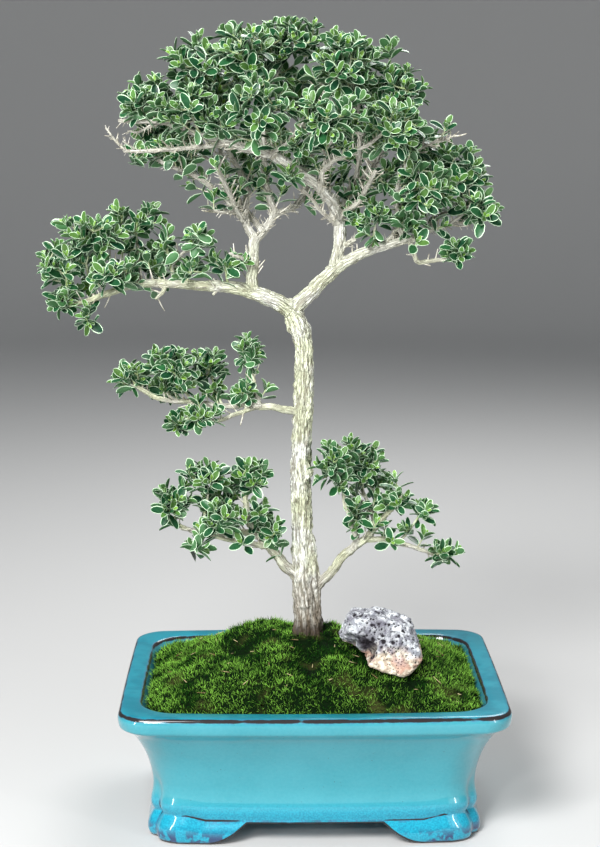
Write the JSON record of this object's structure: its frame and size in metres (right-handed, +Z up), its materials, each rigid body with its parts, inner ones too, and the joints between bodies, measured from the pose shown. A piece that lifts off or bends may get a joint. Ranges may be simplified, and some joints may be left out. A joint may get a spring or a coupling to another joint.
{
  "type": "serissa bonsai in a glazed pot",
  "caption": "Upright serissa bonsai with a rounded crown, side pads of small cream-edged leaves, moss and a lava stone, in a rectangular turquoise glazed footed pot.",
  "frame": {"origin": "middle of the base of the object's bounding box, in the plane under the pot's feet", "axes": "+Z up along the trunk, X along the pot's long side, +Y away from the front"},
  "size_m": [0.3096, 0.198, 0.5309],
  "materials": {
    "glaze": "glossy turquoise glaze, deeper on the rim, broken to brown along the edges",
    "mesh": "black plastic drain mesh",
    "soil": "dark damp bonsai soil of baked clay granules",
    "moss": "living carpet moss, bright green with darker hollows",
    "stone": "rough pitted lava rock, pale grey with cream and rust patches",
    "bark": "pale fissured bark, grey-brown at the foot, paler on the branches",
    "foliage": "small oval leaves, dark green with cream-white margins, on pale green shoots"
  },
  "bodies": {
    "root": {"pot": "glaze", "drain_mesh_left": "mesh", "drain_mesh_right": "mesh", "soil": "soil", "moss": "moss", "stone": "stone", "trunk": "bark", "crown_spray_01": "foliage", "crown_spray_02": "foliage", "crown_spray_03": "foliage", "crown_spray_04": "foliage", "crown_spray_05": "foliage", "crown_spray_06": "foliage", "crown_spray_07": "foliage", "crown_spray_08": "foliage", "crown_spray_09": "foliage", "crown_spray_10": "foliage", "crown_spray_11": "foliage", "crown_spray_12": "foliage", "crown_spray_13": "foliage", "crown_spray_14": "foliage", "crown_spray_15": "foliage", "crown_spray_16": "foliage", "crown_spray_17": "foliage", "crown_spray_18": "foliage", "crown_spray_19": "foliage", "crown_spray_20": "foliage", "crown_spray_21": "foliage", "crown_spray_22": "foliage", "crown_spray_23": "foliage", "crown_spray_24": "foliage", "crown_spray_25": "foliage", "left_spray_01": "foliage", "left_spray_02": "foliage", "left_spray_03": "foliage", "left_spray_04": "foliage", "left_spray_05": "foliage", "left_spray_06": "foliage", "left_spray_07": "foliage", "left_spray_08": "foliage", "low_left_spray_01": "foliage", "low_left_spray_02": "foliage", "low_left_spray_03": "foliage", "low_left_spray_04": "foliage", "low_left_spray_05": "foliage", "low_left_spray_06": "foliage", "low_right_spray_01": "foliage", "low_right_spray_02": "foliage", "low_right_spray_03": "foliage", "low_right_spray_04": "foliage", "low_right_spray_05": "foliage", "low_right_spray_06": "foliage", "middle_spray_01": "foliage", "middle_spray_02": "foliage", "middle_spray_03": "foliage", "middle_spray_04": "foliage", "middle_spray_05": "foliage", "middle_spray_06": "foliage"}
  },
  "joints": []
}
